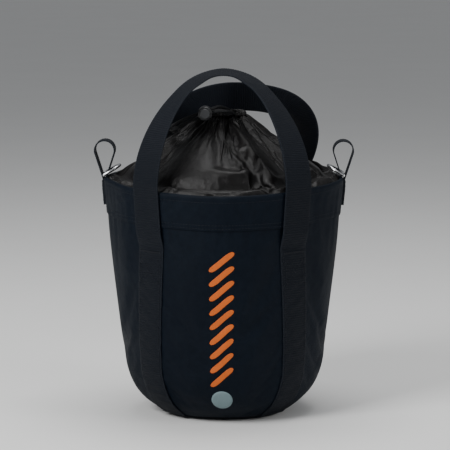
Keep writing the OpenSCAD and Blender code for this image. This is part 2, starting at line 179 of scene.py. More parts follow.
def cut_round(r, sides, insets):
    """A flat round piece of cloth, with rings of faces inside its edge"""
    bm = bmesh.new()
    bmesh.ops.create_circle(bm, cap_ends=True, segments=sides, radius=r)
    for inset in insets:
        inner = [face for face in bm.faces if len(face.verts) == sides]
        bmesh.ops.inset_region(bm, faces=inner, thickness=inset, use_boundary=True)
    keep_flat(bm, lambda spot: spot.xy)
    return bm


def put_in(whole, part):
    """Adds one piece of cloth to another"""
    mesh = bpy.data.meshes.new("part")
    part.to_mesh(mesh)
    part.free()
    whole.from_mesh(mesh)
    bpy.data.meshes.remove(mesh)


def lay(bm, place):
    """Bends the flat piece: place gives where each point of the flat cloth goes"""
    for corner in bm.verts:
        corner.co = place(corner.co.x, corner.co.y)


def as_piece(name, bm):
    mesh = bpy.data.meshes.new(name)
    bmesh.ops.remove_doubles(bm, verts=bm.verts, dist=2e-6)
    for face in bm.faces:
        face.smooth = True
    bm.to_mesh(mesh)
    bm.free()
    piece = bpy.data.objects.new(name, mesh)
    bpy.context.scene.collection.objects.link(piece)
    return piece


def settle(piece, held, frames, stiff, bending, grow, mass):
    """Lets a piece settle as cloth, and returns where its points came to rest"""
    group = piece.vertex_groups.new(name="held")
    for corner, share in enumerate(held):
        group.add([corner], share, "REPLACE")
    cloth = piece.modifiers.new("cloth", "CLOTH")
    cloth.settings.vertex_group_mass = "held"
    cloth.settings.quality = 6
    cloth.settings.mass = mass
    cloth.settings.tension_stiffness = stiff
    cloth.settings.compression_stiffness = stiff
    cloth.settings.shear_stiffness = stiff / 2
    cloth.settings.bending_stiffness = bending
    cloth.settings.tension_damping = cloth.settings.compression_damping = 10
    cloth.settings.shrink_min = -grow
    cloth.collision_settings.distance_min = 0.002
    cloth.collision_settings.use_self_collision = False
    cloth.point_cache.frame_end = frames
    for step in range(1, frames + 1):
        bpy.context.scene.frame_set(step)
    settled = piece.evaluated_get(bpy.context.evaluated_depsgraph_get()).to_mesh()
    points = [Vector(corner.co) for corner in settled.vertices]
    bpy.data.objects.remove(piece)
    bpy.context.scene.frame_set(1)
    return points


def near_strap(a, z):
    """1 on a strap, falling to 0 beside it"""
    side = min(abs(abs(math.remainder(a + k, 2 * math.pi)) - strap_turn(z)) for k in (0, math.pi))
    return 1 - ease((side * 0.14 - 0.016) / 0.02)


def wall_start(a, s):
    """Soft folds that the cloth starts from, before it settles"""
    free = ease(s / 0.06) * (1 - near_strap(a, float(np.interp(s, along, heights))))
    folds = math.sin(5 * a + 1.3) + 0.7 * math.sin(9 * a + 7 * s + 0.4) + 0.4 * math.sin(13 * a - 16 * s)
    front = math.exp(-((math.remainder(a, 2 * math.pi) / 0.55) ** 2))
    # a long crease runs down and in from the rim at the right front
    crease = math.exp(-(((a - 0.62 - 2.6 * (s - wall_len + 0.06)) / 0.05) ** 2)) * ease((s - 0.2) / 0.06)
    return free * (0.0016 * folds * (1 - 0.6 * front) + 0.001 * math.sin(16 * s + 2 * a) - 0.003 * crease)


turn = 2 * math.pi / around
tube = cut(2 * math.pi, wall_len, around, rises)
lay(tube, lambda a, s: wall(a, s, wall_start(a, s)))
test = as_piece("wall_test", tube)
spots = []
for corner in test.data.vertices:
    a = math.atan2(corner.co.x, -corner.co.y)
    spots.append(round(a / turn) % around)
rows = {}
for index, i in enumerate(spots):
    rows.setdefault(i, []).append((test.data.vertices[index].co.z, index))
order = {}
for i, column in rows.items():
    for j, (_, index) in enumerate(sorted(column)):
        order[index] = (i, j)
held = []
for index in range(len(test.data.vertices)):
    i, j = order[index]
    s = j / rises * wall_len
    z = float(np.interp(s, along, heights))
    share = 1.0 if j <= 1 or j >= rises - 1 else 0.05
    share = max(share, 0.6 * near_strap(i * turn, z), 0.5 * ease((z - rim_h + hem_h + 0.012) / 0.012))
    held.append(share)
rested = settle(test, held, 22, stiff=30, bending=1.5, grow=0.012, mass=0.15)
for index, point in enumerate(rested):
    i, j = order[index]
    plain = wall(i * turn, j / rises * wall_len)
    facing = wall(i * turn, j / rises * wall_len, 0.001) - plain
    bulge[i, j] = min(max((point - plain).dot(facing.normalized()), -0.005), 0.005)


def add(made, kind, sockets=(), **choices):
    """Adds a node to a material; a socket takes a number, a colour or another node's output"""
    new = made.node_tree.nodes.new("ShaderNode" + kind)
    for name, value in choices.items():
        setattr(new, name, value)
    for name, value in dict(sockets).items():
        join(made, new.inputs[name], value)
    return new


def join(made, socket, value):
    if isinstance(value, bpy.types.NodeSocket):
        made.node_tree.links.new(value, socket)
    else:
        socket.default_value = value


def reckon(made, sort, first, second=0.0):
    """One sum of two numbers or outputs"""
    return add(made, "Math", {0: first, 1: second}, operation=sort).outputs[0]


def plain_stuff(name, colour, roughness, **constants):
    """A material with its constants set on the shader's own sockets"""
    made = bpy.data.materials.new(name)
    made.use_nodes = True
    shader = made.node_tree.nodes["Principled BSDF"]
    shader.inputs["Base Color"].default_value = (*colour, 1)
    shader.inputs["Roughness"].default_value = roughness
    for socket, value in constants.items():
        shader.inputs[socket.replace("_", " ")].default_value = value
    return made, shader


def speckle(made, scale, detail=3.0):
    """Noise over the object"""
    place = add(made, "TexCoord").outputs["Object"]
    return add(made, "TexNoise", {"Vector": place, "Scale": scale, "Detail": detail}).outputs["Fac"]


def between(made, share, low, high):
    """Share of 0 to 1, spread from low to high"""
    return add(made, "MapRange", {"Value": share, "To Min": low, "To Max": high}).outputs[0]


def gloss(made, shader, noise, low, high):
    """Roughness that wanders between two values"""
    join(made, shader.inputs["Roughness"], between(made, noise, low, high))


def threads(made, across, up, lean=0.0):
    """Over and under of a weave, whose threads are across and up apart on the flat cloth"""
    flat = add(made, "SeparateXYZ", {"Vector": add(made, "UVMap", uv_map="flat").outputs["UV"]})
    first = reckon(made, "MULTIPLY", flat.outputs[0], 2 * math.pi / across)
    if lean:
        first = reckon(made, "ADD", first, reckon(made, "MULTIPLY", flat.outputs[1], lean))
    second = reckon(made, "MULTIPLY", flat.outputs[1], 2 * math.pi / up)
    return reckon(made, "MULTIPLY", reckon(made, "SINE", first), reckon(made, "SINE", second))


def relief(made, shader, *layers):
    """Bump layers, each with its height output, its depth in metres and its strength"""
    below = None
    for height, depth, strength in layers:
        bump = add(made, "Bump", {"Height": height, "Distance": depth, "Strength": strength})
        if below:
            join(made, bump.inputs["Normal"], below)
        below = bump.outputs["Normal"]
    join(made, shader.inputs["Normal"], below)


def mottle(made, shader, dark, pale, share):
    """Colour between a dark and a pale shade, mixed by the given share"""
    mix = add(made, "Mix", data_type="RGBA")
    join(made, mix.inputs["Factor"], share)
    for socket, value in (("A", dark), ("B", pale)):
        [i for i in mix.inputs if i.name == socket and i.type == "RGBA"][0].default_value = (*value, 1)
    made.node_tree.links.new([o for o in mix.outputs if o.type == "RGBA"][0], shader.inputs["Base Color"])


def coated_cloth(name, dark, pale):
    """Heavy plain weave with a rubbed, slightly dusty face and a soft coated gloss"""
    made, shader = plain_stuff(name, dark, 0.6, Specular_IOR_Level=0.09)
    rubbed = reckon(made, "MULTIPLY", speckle(made, 7, 4), speckle(made, 160, 2))
    mottle(made, shader, dark, pale, between(made, rubbed, -0.3, 2.4))
    gloss(made, shader, speckle(made, 16, 4), 0.5, 0.68)
    relief(
        made, shader,
        (speckle(made, 22, 3), 0.0042, 0.7),
        (speckle(made, 120, 3), 0.0008, 0.5),
        (threads(made, 0.0014, 0.0014), 0.00012, 0.7),
    )
    return made


body_cloth = coated_cloth("navy_coated_polyester", (0.0008, 0.0028, 0.0068), (0.0028, 0.006, 0.0115))


def sewn(name, bm, stuff, replaced=(), thick=0.0, out=-1.0, edge=0.0, body="bag"):
    """Makes a cut and laid piece into an object, gives it thickness and rounded edges"""
    piece = as_piece(name, bm)
    piece.data.materials.append(stuff)
    if thick:
        depth = piece.modifiers.new("thickness", "SOLIDIFY")
        depth.thickness = thick
        depth.offset = out
    if edge:
        rounded = piece.modifiers.new("rounded edge", "BEVEL")
        rounded.width = edge
        rounded.segments = 2
        rounded.limit_method = "ANGLE"
        rounded.angle_limit = math.radians(50)
    if replaced:
        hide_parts(*replaced)
    if body:
        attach(piece, body)
    return piece


def layer(name, stuff, a0, a1, s0, s1, out, thick, replaced=(), columns=24, rows=40, edge=0.0):
    """A layer of cloth or tape that lies on the wall between two angles and two rises"""
    mean_r = float(np.interp((s0 + s1) / 2, along, radii))
    bm = cut((a1 - a0) * mean_r, s1 - s0, columns, rows)
    lay(bm, lambda u, v: wall(a0 + u / mean_r, s0 + v, out))
    return sewn(name, bm, stuff, replaced, thick, -1.0 if out <= 0 else 1.0, edge)


seam_half = 0.0006
for name, middle in (("front_wall", 0.0), ("rear_wall", math.pi)):
    layer(
        name + "_cloth", body_cloth,
        middle - math.pi / 2 + seam_half, middle + math.pi / 2 - seam_half,
        0.0, wall_len, 0.0, fabric_t, [name], columns=100, rows=92,
    )

# ---- Base ---------------------------------------------------------------------------------
# The base is a disc of the same cloth, sewn to the wall round its edge with a plastic sheet
# laid on it and a tape bound over the raw edges inside. A thin piping covers the seam outside.

tape_weave, tape_shader = plain_stuff("binding_tape", (0.004, 0.005, 0.008), 0.75, Specular_IOR_Level=0.2)
relief(tape_weave, tape_shader, (threads(tape_weave, 0.0016, 0.0012), 0.0002, 0.8))
mottle(tape_weave, tape_shader, (0.003, 0.004, 0.0065), (0.009, 0.0105, 0.014), speckle(tape_weave, 90))

base_cloth = cut_round(base_r - fabric_t, 96, (0.004, 0.003, 0.012, 0.018, 0.02))
for face in base_cloth.faces:
    face.normal_flip()
for corner in base_cloth.verts:
    reach = corner.co.xy.length / base_r
    a = math.atan2(corner.co.x, -corner.co.y)
    corner.co.z = 0.0004 + 0.0012 * (1 - ease((reach - 0.5) / 0.4))
    corner.co.xy *= 1 - 0.024 * math.cos(4 * a) * ease(reach)
sewn("base_cloth", base_cloth, body_cloth, ["base_panel"], fabric_t, -1.0)

binding_w, binding_t = 0.007, 0.0024
binding_s = up_to(0.0043)
layer(
    "base_seam_tape", tape_weave, 0, 2 * math.pi, binding_s, binding_s + binding_w,
    -fabric_t - layer_gap, binding_t, ["base_seam_binding"], columns=96, rows=3, edge=0.0006,
)

sheet_plastic, sheet_shader = plain_stuff("stiffener_plastic", (0.03, 0.031, 0.033), 0.5)
relief(sheet_plastic, sheet_shader, (speckle(sheet_plastic, 700), 0.0002, 0.6))
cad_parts["base_stiffener"].material_slots[0].material = sheet_plastic

# The piping is a folded strip of binding, rounded over the seam between the wall and the base.
piping_r = 0.0016
piping = cut(2 * math.pi * piping_r, 2 * math.pi * base_r, 10, 192)


def round_seam(u, v):
    a, turn_on = v / base_r, u / piping_r
    seam = wall(a, 0.0035, 0.0004)
    outward = Vector((math.sin(a), -math.cos(a), 0))
    return seam + piping_r * (math.cos(turn_on) * outward + math.sin(turn_on) * Vector((0, 0, 1)))


lay(piping, round_seam)
bmesh.ops.remove_doubles(piping, verts=piping.verts, dist=2e-6)
bmesh.ops.recalc_face_normals(piping, faces=piping.faces)
sewn("base_piping", piping, tape_weave)

# ---- Side seams, rim tape and hem -----------------------------------------------------------
# Tapes cover the two side seams and stiffen the mouth from inside. The hem is a band of body
# cloth on the outside that turns over the rim and down over the tape.

side_tape_w, side_tape_t = 0.016, 0.001
for name, middle in (("left_seam_tape", -math.pi / 2), ("right_seam_tape", math.pi / 2)):
    half = side_tape_w / rim_r / 2
    layer(
        name + "_cloth", tape_weave, middle - half, middle + half,
        up_to(0.037), up_to(rim_h - hem_h - 0.004), -fabric_t - layer_gap, side_tape_t,
        [name], columns=4, rows=70, edge=0.0003,
    )

rim_tape_h, rim_tape_t = 0.034, 0.0015
layer(
    "rim_tape_cloth", tape_weave, 0, 2 * math.pi,
    wall_len - rim_tape_h - 0.003, wall_len - 0.003, -fabric_t - layer_gap, rim_tape_t,
    ["rim_tape"], columns=144, rows=10, edge=0.0004,
)

hem_t = 0.0015
fold_r = (fabric_t + rim_tape_t + hem_t) / 2 + layer_gap
fold_mid = layer_gap + hem_t / 2 - fold_r
hem_round = math.pi * fold_r
hem_down = 0.003


def hem_place(u, v):
    """Up the outside of the wall, over the rim in a half circle, and a little way down inside"""
    a = u / rim_r
    outside = layer_gap + hem_t / 2
    if v <= hem_h:
        return wall(a, wall_len - hem_h + v, outside)
    if v >= hem_h + hem_round:
        return wall(a, wall_len - (v - hem_h - hem_round), fold_mid - fold_r)
    turned = (v - hem_h) / fold_r
    middle = wall(a, wall_len, fold_mid)
    outward = (wall(a, wall_len, fold_mid + 0.01) - middle).normalized()
    upward = (middle - wall(a, wall_len - 0.01, fold_mid)).normalized()
    return middle + fold_r * (math.cos(turned) * outward + math.sin(turned) * upward)


hem = cut(2 * math.pi * rim_r, hem_h + hem_round + hem_down, 200, 30)
lay(hem, hem_place)
sewn("hem_cloth", hem, body_cloth, ["hem_band"], hem_t, 0.0, 0.0004)

# ---- Stitching ----------------------------------------------------------------------------
# Bonded polyester thread, locked down in rows: twice round the foot of the hem, once under the
# rim, along both edges of every strap, round the base and over the side tabs.

thread, thread_shader = plain_stuff("bonded_thread", (0.006, 0.008, 0.013), 0.5, Specular_IOR_Level=0.25)
relief(thread, thread_shader, (speckle(thread, 2600), 0.0001, 0.8))
stitch_len, stitch_gap, thread_r = 0.0034, 0.0008, 0.00032


def stitch(bm, here, there, outward, r=thread_r):
    """One stitch: a taut spindle of thread between two needle holes"""
    way = there - here
    across = outward.cross(way).normalized()
    up = way.cross(across).normalized()
    turned = Matrix((way / 2, across * r, up * r)).transposed().to_4x4()
    turned.translation = (here + there) / 2
    bmesh.ops.create_icosphere(bm, subdivisions=1, radius=1, matrix=turned)


def stitch_line(bm, at, length, out_at):
    """A row of stitches along a line: at gives its points, out_at the way outwards"""
    step = stitch_len + stitch_gap
    count = max(int(length / step), 1)
    for k in range(count):
        first = k / count
        last = first + stitch_len / step / count
        stitch(bm, at(first), at(last), out_at(first))


def wall_out(a, s):
    return (wall(a, s, 0.001) - wall(a, s)).normalized()


def row_round(bm, s, out, r):
    """A row of stitches right round the wall"""
    full = 2 * math.pi
    stitch_line(bm, lambda t: wall(full * t, s, out), full * r, lambda t: wall_out(full * t, s))


def thread_piece(name, bm, replaced=()):
    return sewn(name, bm, thread, replaced)


on_hem = layer_gap + hem_t + thread_r * 0.4
hem_rows = bmesh.new()
for s in (wall_len - hem_h + 0.003, wall_len - hem_h + 0.0075, wall_len - 0.005):
    row_round(hem_rows, s, on_hem, rim_r)
thread_piece("hem_stitching", hem_rows)

base_row = bmesh.new()
row_round(base_row, 0.0085, 0.0002, base_r)
thread_piece("base_stitching", base_row)

# ---- Print --------------------------------------------------------------------------------
# Printed straight onto the front cloth: an upright column of slanted strands, like a laid rope
# seen from the side, with a plain pale disc under it. It carries no letters and no mark.


def ink(name, colour, pale):
    made, shader = plain_stuff(name, colour, 0.5, Specular_IOR_Level=0.2)
    mottle(made, shader, colour, pale, between(made, speckle(made, 300, 4), 0.1, 0.7))
    gloss(made, shader, speckle(made, 60), 0.35, 0.55)
    relief(made, shader, (threads(made, 0.0014, 0.0014), 0.0001, 0.5))
    return made


orange_ink = ink("orange_ink", (0.50, 0.088, 0.008), (0.60, 0.13, 0.016))
pale_ink = ink("pale_ink", (0.13, 0.19, 0.205), (0.20, 0.27, 0.285))
ink_t = 0.0003
band_w, band_bottom, band_top = 0.029, 0.052, 0.229
strands = 9
pitch = (up_to(band_top) - up_to(band_bottom)) / (strands + 0.55)
strand_t = 0.0098

column = bmesh.new()
column.loops.layers.uv.new("flat")
for k in range(strands):
    strand = cut(1, 1, 26, 10)
    foot = up_to(band_bottom) + (k + 0.78) * pitch

    def strand_place(u, v):
        """A leaning strand with round ends, thick in its middle"""
        x = 2 * u - 1
        thick = strand_t * (1 - abs(x) ** 3.2) ** 0.5
        rise = 0.0115 * math.sin(x * 1.25)
        return wall(x * band_w / 2 / 0.13, foot + rise + (v - 0.5) * thick, layer_gap)

    lay(strand, strand_place)
    bmesh.ops.remove_doubles(strand, verts=strand.verts, dist=2e-6)
    keep_flat(strand, lambda spot: spot.xz)
    put_in(column, strand)
sewn("printed_column", column, orange_ink, ["printed_band"], ink_t, 1.0)

disc_z, disc_r = 0.035, 0.013
disc = cut_round(disc_r, 64, (0.0025, 0.0025, 0.0025, 0.0025))
disc_r_at = float(np.interp(disc_z, heights, radii))
lay(disc, lambda u, v: wall(u / disc_r_at, up_to(disc_z) + v * 1.1, layer_gap))
sewn("printed_disc_ink", disc, pale_ink, ["printed_disc"], ink_t, 1.0)

# ---- Straps and handles ---------------------------------------------------------------------
# Each side has one length of 40 mm ribbed polypropylene webbing. It is sewn up the wall from
# the base to a bar tack, runs free over the hem and the mouth as the carry handle, and comes
# down to the base again on the other side.

webbing_t = 0.0018
rib = 0.003
rib_h = 0.00022
hem_clear = 0.00205


def webbing_stuff(name, width, dark, pale):
    """Ribbed webbing: ribs across it, fine threads along the ribs, rubbed paler edges, and a painted
    highlight on the rib crests
    """
    made, shader = plain_stuff(name, dark, 0.62, Specular_IOR_Level=0.14)
    flat = add(made, "SeparateXYZ", {"Vector": add(made, "UVMap", uv_map="flat").outputs["UV"]})
    side = reckon(made, "ABSOLUTE", reckon(made, "SUBTRACT", flat.outputs[0], width / 2))
    edge = add(
        made, "MapRange",
        {"Value": side, "From Min": width / 2 - 0.0025, "From Max": width / 2 - 0.0003},
    ).outputs[0]
    ribs = reckon(made, "SINE", reckon(made, "MULTIPLY", flat.outputs[1], 2 * math.pi / rib))
    # painted highlight: the rib crests are coloured paler, following the rib relief, with noise along the
    # strap
    painted_rib_highlight = reckon(made, "MULTIPLY", between(made, ribs, -0.15, 0.35), speckle(made, 60))
    worn = reckon(made, "MULTIPLY", edge, speckle(made, 220, 4))
    mottle(made, shader, dark, pale, reckon(made, "ADD", painted_rib_highlight, worn))
    gloss(made, shader, speckle(made, 90), 0.5, 0.72)
    relief(
        made, shader,
        (ribs, 0.0004, 0.5),
        (threads(made, 0.0012, 0.0015, 900), 0.00025, 0.7),
        (speckle(made, 1500), 0.0001, 0.5),
    )
    return made


handle_webbing = webbing_stuff(
    "navy_webbing_40", webbing_w, (0.0028, 0.0046, 0.0085), (0.0105, 0.0135, 0.0195)
)
straight_top = rim_h + 0.008
handle_foot = 0.232


def handle_r(z):
    r0 = float(np.interp(handle_foot, heights, radii)) + hem_clear + 0.0003
    return r0 + (rim_r + hem_clear - r0) * (z - handle_foot) / (rim_h - handle_foot) + webbing_t / 2


def arm_at(z, front):
    """Middle of the right arm beside the hem; front is -1 for the front handle, 1 for the rear"""
    r = handle_r(z)
    return Vector((r * math.sin(strap_angle), front * r * math.cos(strap_angle), z))


def half_webbing(front, arch, crown_across):
    """Places along one half, as if it were the right one, from the base to the crown. Each row
    is how free it is, rise on the wall, angle on the wall, middle, way across, way outwards"""
    rows = []
    level = Vector((math.cos(strap_angle), -front * math.sin(strap_angle), 0))
    turned = (lambda t: t) if front < 0 else (lambda t: math.pi - t)
    for s in np.linspace(0.0025, up_to(straight_top - 0.010), 200):
        z = float(np.interp(s, along, heights))
        a = turned(strap_turn(z))
        free = ease((z - strap_top) / 0.022)
        middle = arm_at(z, front) if free else wall(a, s, 0.001)
        rows.append([free, s, a, *middle, *level, *wall_out(a, s)])
    for z in np.linspace(straight_top - 0.008, straight_top, 6)[:-1]:
        a = turned(strap_angle)
        rows.append([1, wall_len, a, *arm_at(z, front), *level, *wall_out(a, wall_len - 0.004)])
    for t in np.linspace(0, 1, 120):
        way = (curve_at(arch, min(t + 0.01, 1)) - curve_at(arch, max(t - 0.01, 0))).normalized()
        # the two halves meet square at the crown
        way = way.lerp(Vector((-1, 0, 0)), ease((t - 0.6) / 0.4)).normalized()
        across = level.lerp(Vector(crown_across), ease(t))
        across = (across - across.dot(way) * way).normalized()
        rows.append([1, wall_len, a, *curve_at(arch, t), *across, *(across.cross(way) * -front)])
    rows = np.array(rows)
    length = np.concatenate([[0], np.cumsum(np.linalg.norm(np.diff(rows[:, 3:6], axis=0), axis=1))])
    return rows, length


def webbing_place(left, right, front):
    """Where a point of the flat webbing goes: u across it, v along it from the left base seam"""

    def place(u, v):
        on_right = v > left[1][-1]
        rows, length = right if on_right else left
        reach = left[1][-1] + right[1][-1] - v if on_right else v
        row = [float(np.interp(reach, length, rows[:, k])) for k in range(rows.shape[1])]
        free, s, a = row[:3]
        middle, across, outward = Vector(row[3:6]), Vector(row[6:9]), Vector(row[9:12])
        raised = rib_h * math.cos(2 * math.pi * v / rib)
        offset = (u - webbing_w / 2) * front
        spot = middle + across.normalized() * offset + outward.normalized() * raised
        if free < 1:
            turn_by = -front * offset / float(np.interp(s, along, radii))
            tight = wall(a + turn_by, s, layer_gap + webbing_t / 2 + raised)
            spot = tight.lerp(spot, free)
        # the left half is made as if on the right, and mirrored here
        if not on_right:
            spot.x = -spot.x
        return spot

    return place


crown_front, crown_rear = rim_h + 0.143, rim_h + 0.108
foot = arm_at(straight_top, -1)
front_arch = [foot, foot + Vector((-0.002, 0.004, 0.0715)), Vector((0.052, -0.025, crown_front)),
              Vector((0, -0.012, crown_front))]
foot = arm_at(straight_top, 1)
rear_arch = [foot, foot + Vector((0.034, -0.004, 0.0702)), Vector((0.085, 0.040, crown_rear)),
             Vector((0.012, 0.035, crown_rear))]
rear_left_arch = [foot, foot + Vector((-0.006, -0.004, 0.04536)), Vector((0.050, 0.040, crown_rear)),
                  Vector((-0.012, 0.035, crown_rear))]
for side, front, left_arch, right_arch, crown_across in (
    ("front", -1, front_arch, front_arch, (0, 0.99, 0.14)),
    ("rear", 1, rear_left_arch, rear_arch, (0, -0.35, 0.94)),
):
    left = half_webbing(front, left_arch, crown_across)
    right = half_webbing(front, right_arch, crown_across)
    whole = left[1][-1] + right[1][-1]
    web = cut(webbing_w, whole, 10, int(whole / (rib / 2)))
    lay(web, webbing_place(left, right, front))
    web = sewn(
        side + "_webbing", web, handle_webbing,
        [side + "_handle", f"{side}_left_strap", f"{side}_right_strap"],
        webbing_t, 0.0, 0.0004, body=None,
    )
    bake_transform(web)

# Bar tacks: dense zigzags of thread across the four straps, over rows of straight stitches down
# both edges and a crossed box under the tack.
tack_out = layer_gap + webbing_t + 0.0002
tack_half, tack_stitches, tack_thread_r = 0.0155, 30, 0.0005
edge_row = 0.0165
row_low, row_rise, row_len = 0.006, strap_top - 0.014, 0.225
box_half, box_low, box_high = 0.0135, 0.182, 0.212
tacks = bmesh.new()
rows_bm = bmesh.new()
for k in range(4):
    rear, right = k // 2, k % 2

    def on_strap(x, z, out=tack_out):
        """Point on a strap, x from its middle line and z up from the ground"""
        s = up_to(z)
        a = strap_turn(z) + x / float(np.interp(s, along, radii))
        a = a if right else -a
        return wall(math.pi - a if rear else a, s, out)

    def strap_out(x, z):
        return (on_strap(x, z, tack_out + 0.001) - on_strap(x, z)).normalized()

    def strap_row(bm, x0, z0, x1, z1):
        """A straight row of stitches on a strap"""
        def along_row(t):
            return x0 + t * (x1 - x0), z0 + t * (z1 - z0)

        stitch_line(
            bm, lambda t: on_strap(*along_row(t)), math.hypot(x1 - x0, z1 - z0),
            lambda t: strap_out(*along_row(t)),
        )

    for i in range(tack_stitches):
        x = tack_half * (2 * i / (tack_stitches - 1) - 1)
        low, high = on_strap(x, strap_top - 0.0062), on_strap(x + 0.0005, strap_top - 0.0028)
        stitch(tacks, low, high, strap_out(x, strap_top - 0.0045), tack_thread_r)
    for x in (-edge_row, edge_row):
        stitch_line(
            rows_bm, lambda t: on_strap(x, row_low + t * row_rise), row_len,
            lambda t: strap_out(x, row_low + t * row_rise),
        )
    box = [(-box_half, box_low), (box_half, box_low), (box_half, box_high), (-box_half, box_high)]
    box += [(-box_half, box_low), (box_half, box_high), (box_half, box_low), (-box_half, box_high)]
    for here, there in zip(box, box[1:]):
        strap_row(rows_bm, *here, *there)
thread_piece("strap_tack_thread", tacks, ["strap_bar_tacks"])
thread_piece("strap_stitching", rows_bm)

# ---- Side loops and D-rings -----------------------------------------------------------------
# A 25 mm length of webbing on each side is doubled, sewn to the hem as a tab, and stands above
# the rim as a drop-shaped loop. A welded steel D-ring hangs with its bar in the foot of the loop.

loop_w, loop_t, loop_r = 0.025, 0.0016, 0.012
tab_in = 2 * layer_gap + hem_t
loop_foot = rim_h + 0.003
loop_x = rim_r + tab_in + loop_t
loop_mid = 0.0384
leg_angle = math.radians(17.98)
round_r = loop_r + loop_t / 2
loop_webbing = webbing_stuff("navy_webbing_25", loop_w, (0.0032, 0.005, 0.0088), (0.0135, 0.0165, 0.022))


def loop_line():
    """Middle of the loop webbing: how free it is, rise and stand-off on the wall, then x and z"""
    low, high = up_to(rim_h - 0.032), up_to(rim_h - 0.001)
    rows = [[0, s, tab_in + 1.5 * loop_t, 0.0009, 0.0] for s in np.linspace(low, high, 12)]
    drop = []
    tip = loop_mid - round_r / math.sin(leg_angle)
    for z in np.linspace(0, loop_mid - round_r * math.sin(leg_angle), 16)[:-1]:
        drop.append(((z - tip) * math.tan(leg_angle), z))
    for t in np.linspace(-leg_angle, math.pi + leg_angle, 48):
        drop.append((round_r * math.cos(t), loop_mid + round_r * math.sin(t)))
    for z in np.linspace(loop_mid - round_r * math.sin(leg_angle), 0, 16)[1:]:
        drop.append((-(z - tip) * math.tan(leg_angle), z))
    rows += [[1, high, 0, x, z] for x, z in drop]
    rows += [[0, s, tab_in + 0.5 * loop_t, -0.0009, 0.0] for s in np.linspace(high, low, 12)]
    return np.array(rows)


line = loop_line()
for side_name, side in (("left", -1), ("right", 1)):

    def loop_point(row, u):
        free, s, off, x, z = row
        if free:
            return Vector((side * (loop_x + x), side * (u - loop_w / 2), loop_foot + z))
        return wall(side * math.pi / 2 + (u - loop_w / 2) / rim_r, s, off)

    middles = [loop_point(row, loop_w / 2) for row in line]
    length = np.concatenate([[0], np.cumsum([(q - p).length for p, q in zip(middles, middles[1:])])])

    def loop_place(u, v):
        k = min(max(int(np.searchsorted(length, v)) - 1, 0), len(line) - 2)
        share = (v - length[k]) / max(length[k + 1] - length[k], 1e-9)
        here = loop_point(line[k], u).lerp(loop_point(line[k + 1], u), share)
        way = (middles[k + 1] - middles[k]).normalized()
        outward = Vector((0, side, 0)).cross(way)
        return here + outward * rib_h * 0.8 * math.cos(2 * math.pi * v / rib)

    web = cut(loop_w, length[-1], 8, int(length[-1] / (rib / 2)))
    lay(web, loop_place)
    web = sewn(
        side_name + "_side_loop", web, loop_webbing,
        [side_name + "_tab", side_name + "_loop"], loop_t * 0.94, 0.0, 0.0004, body=None,
    )
    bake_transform(web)

tab_out = tab_in + 2 * loop_t + 0.0002
tab_half, tab_stitches = 0.0095, 20
cross_low, cross_high = 0.272, 0.284
tab_tacks = bmesh.new()
for side in (-1, 1):

    def on_tab(y, z, out=tab_out):
        return wall(side * math.pi / 2 + y / rim_r, up_to(z), out)

    for z in (rim_h - 0.028, rim_h - 0.010):
        for i in range(tab_stitches):
            y = tab_half * (2 * i / (tab_stitches - 1) - 1)
            outward = wall_out(side * math.pi / 2, up_to(z))
            stitch(tab_tacks, on_tab(y, z), on_tab(y + 0.0005, z + 0.003), outward, tack_thread_r)
    for y0, z0, y1, z1 in (
        (-tab_half, cross_low, tab_half, cross_high), (tab_half, cross_low, -tab_half, cross_high),
        (-0.0098, 0.268, -0.0098, 0.287), (0.0098, 0.268, 0.0098, 0.287),
    ):
        stitch_line(
            tab_tacks, lambda t: on_tab(y0 + t * (y1 - y0), z0 + t * (z1 - z0)),
            math.hypot(y1 - y0, z1 - z0), lambda t: wall_out(side * math.pi / 2, up_to(z0)),
        )
thread_piece("tab_tack_thread", tab_tacks, ["tab_bar_tacks"])

ring_steel, ring_shader = plain_stuff("polished_ring_steel", (0.62, 0.625, 0.64), 0.16, Metallic=1.0)
gloss(ring_steel, ring_shader, speckle(ring_steel, 420, 5), 0.1, 0.34)
relief(ring_steel, ring_shader, (speckle(ring_steel, 260, 4), 0.0001, 0.25))
for ring in ("left_ring", "right_ring"):
    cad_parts[ring].material_slots[0].material = ring_steel

# ---- Collar ---------------------------------------------------------------------------------
# A tube of thin, shiny nylon is sewn inside the hem and drawn in by the cord to a narrow neck.
# It is laid in puffed facets with deep folds between them, then settled as cloth over the rope
# side of the mouth, and pressed down where the cord lies on it.

collar_t = 0.0005
neck_r, neck_z = 0.025, 0.386
tuck = 0.018
collar_h = 0.165
collar_girth = 2 * math.pi * 0.147
collar_in = -(fabric_t + rim_tape_t + 2 * layer_gap + 0.0009)
dome = [
    Vector((0.1469, 0.2974)), Vector((0.1229, 0.3237)), Vector((0.077, 0.36375)), Vector((0.0293, 0.3840)),
]
pleats = 46

# Folds run from the rim to the neck: angle at the rim, angle at the neck, depth, half width
folds = [
    (-171, -166, 7.0, 7), (-146, -140, 6.0, 6), (-118, -126, 6.5, 7), (-93, -84, 6.0, 6),
    (-57, -46, 8.0, 6), (27, 12, 8.5, 6), (52, 41, 6.0, 6), (76, 70, 7.0, 6), (101, 92, 6.0, 6),
    (124, 131, 7.0, 7), (151, 144, 6.0, 6),
]
pocket_a, pocket_t = 6.5, 0.63


def dome_spot(a, t, off):
    """Point on the collar's plain dome, t from the rim to the neck, standing off it"""
    spot = curve_at(dome, t)
    way = (curve_at(dome, min(t + 0.01, 1)) - curve_at(dome, max(t - 0.01, 0))).normalized()
    r, z = spot.x + off * way.y, spot.y - off * way.x
    z += rim_lift(a) * (1 - ease(t / 0.6))
    return Vector((r * math.sin(a), -r * math.cos(a), z))


